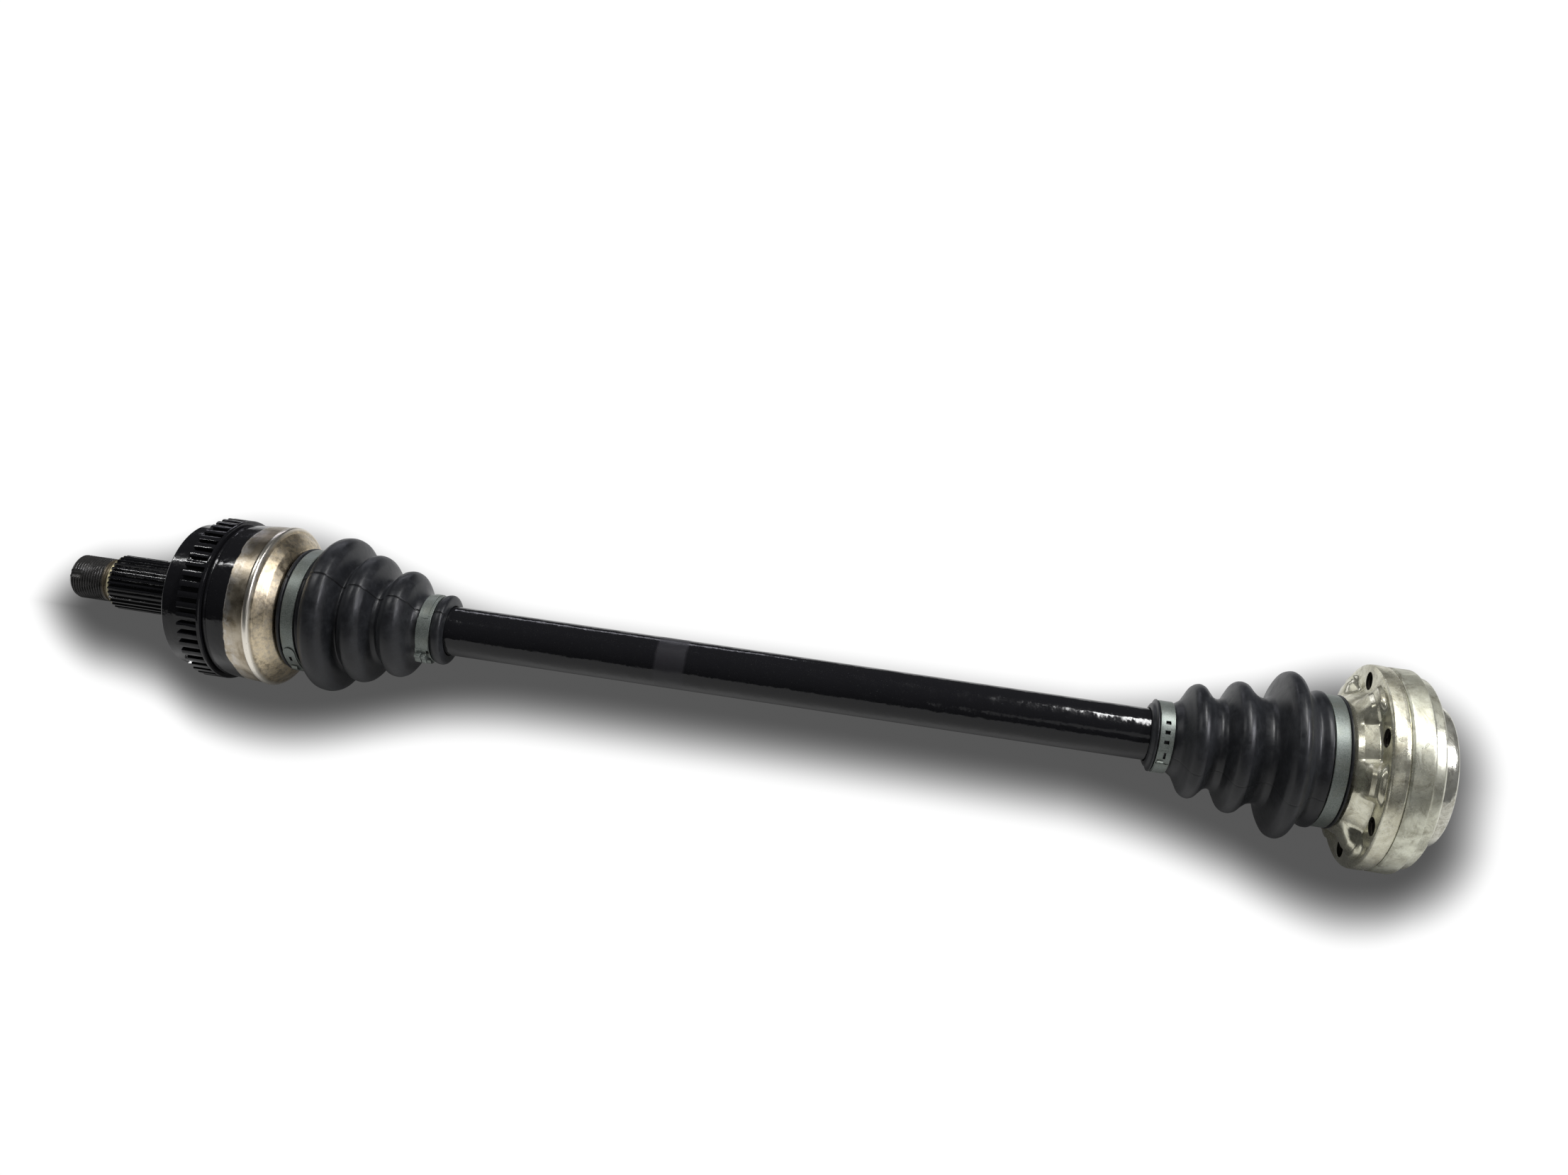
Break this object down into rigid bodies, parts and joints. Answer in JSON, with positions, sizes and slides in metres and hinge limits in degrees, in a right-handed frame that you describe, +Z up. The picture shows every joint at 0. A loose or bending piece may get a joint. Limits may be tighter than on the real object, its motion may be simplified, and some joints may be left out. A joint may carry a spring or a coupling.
{
  "type": "cv axle",
  "caption": "Halfshaft with a splined fixed ball joint at the wheel end, a solid bar and a plunging ball joint with a bolt-on flange, ribbed boots and band clamps.",
  "frame": {"origin": "mid-length of the straight axle, on its centreline", "axes": "X along the axle from the wheel end (-X, threaded stub) to the gearbox end (+X, dust cap); +Z up; two of the six balls of each joint lie on the Z axis and two of the six bolt holes on the Y axis"},
  "size_m": [0.7278, 0.1024, 0.1024],
  "materials": {
    "black_paint": "gloss",
    "plated_steel": "satin",
    "ground_steel": "polished",
    "spring_steel": "satin",
    "zinc_band": "satin",
    "boot_rubber": "satin",
    "gasket_card": "matte"
  },
  "bodies": {
    "axle": {"axle_bar": "black_paint", "inner_race": "ground_steel", "inner_circlip": "spring_steel", "inner_dished_washer": "spring_steel", "inner_clamp_small": "zinc_band", "outer_race": "ground_steel", "outer_circlip": "spring_steel", "outer_thrust_ring": "spring_steel", "outer_dished_washer": "spring_steel", "outer_clamp_small": "zinc_band"},
    "inner_first_ball": {"inner_ball_1": "ground_steel"},
    "inner_cage_body": {"inner_cage": "ground_steel", "inner_ball_2": "ground_steel", "inner_ball_3": "ground_steel", "inner_ball_5": "ground_steel", "inner_ball_6": "ground_steel"},
    "inner_last_ball": {"inner_ball_4": "ground_steel"},
    "inner_plunge_body": {"inner_boot": "boot_rubber"},
    "inner_housing": {"inner_joint_ring": "plated_steel", "inner_boot_can": "plated_steel", "inner_can_gasket": "gasket_card", "inner_end_cap": "plated_steel", "inner_clamp_large": "zinc_band"},
    "outer_first_ball": {"outer_ball_1": "ground_steel"},
    "outer_cage_body": {"outer_cage": "ground_steel", "outer_ball_2": "ground_steel", "outer_ball_3": "ground_steel", "outer_ball_5": "ground_steel", "outer_ball_6": "ground_steel", "outer_boot": "boot_rubber"},
    "outer_last_ball": {"outer_ball_4": "ground_steel"},
    "outer_housing": {"outer_bell": "black_paint", "tone_ring": "black_paint", "outer_clamp_large": "zinc_band"}
  },
  "joints": [
    {"name": "inner_bend_y", "type": "hinge", "parent": "axle", "child": "inner_first_ball", "pos_m": [0.34, 0, 0], "axis": [0, 1, 0], "range_deg": [-7, 7]},
    {"name": "inner_bend_z", "type": "hinge", "parent": "inner_first_ball", "child": "inner_cage_body", "pos_m": [0.34, 0, 0], "axis": [0, 0, 1], "range_deg": [-7, 7]},
    {"name": "inner_bend_z_half2", "type": "hinge", "parent": "inner_cage_body", "child": "inner_last_ball", "pos_m": [0.34, 0, 0], "axis": [0, 0, 1], "range_deg": [-7, 7]},
    {"name": "inner_bend_y_half2", "type": "hinge", "parent": "inner_last_ball", "child": "inner_plunge_body", "pos_m": [0.34, 0, 0], "axis": [0, 1, 0], "range_deg": [-7, 7]},
    {"name": "inner_plunge", "type": "slide", "parent": "inner_plunge_body", "child": "inner_housing", "axis": [1, 0, 0], "range_m": [-0.004, 0.007], "deforming": ["inner_boot"]},
    {"name": "outer_bend_y", "type": "hinge", "parent": "axle", "child": "outer_first_ball", "pos_m": [-0.248, 0, 0], "axis": [0, 1, 0], "range_deg": [-10, 10]},
    {"name": "outer_bend_z", "type": "hinge", "parent": "outer_first_ball", "child": "outer_cage_body", "pos_m": [-0.248, 0, 0], "axis": [0, 0, 1], "range_deg": [-10, 10], "deforming": ["outer_boot"]},
    {"name": "outer_bend_z_half2", "type": "hinge", "parent": "outer_cage_body", "child": "outer_last_ball", "pos_m": [-0.248, 0, 0], "axis": [0, 0, 1], "range_deg": [-10, 10]},
    {"name": "outer_bend_y_half2", "type": "hinge", "parent": "outer_last_ball", "child": "outer_housing", "pos_m": [-0.248, 0, 0], "axis": [0, 1, 0], "range_deg": [-10, 10]}
  ],
  "couplings": [
    {"joint": "inner_bend_z_half2", "follows": "inner_bend_z", "ratio": 1},
    {"joint": "inner_bend_y_half2", "follows": "inner_bend_y", "ratio": 1},
    {"joint": "outer_bend_z_half2", "follows": "outer_bend_z", "ratio": 1},
    {"joint": "outer_bend_y_half2", "follows": "outer_bend_y", "ratio": 1}
  ]
}
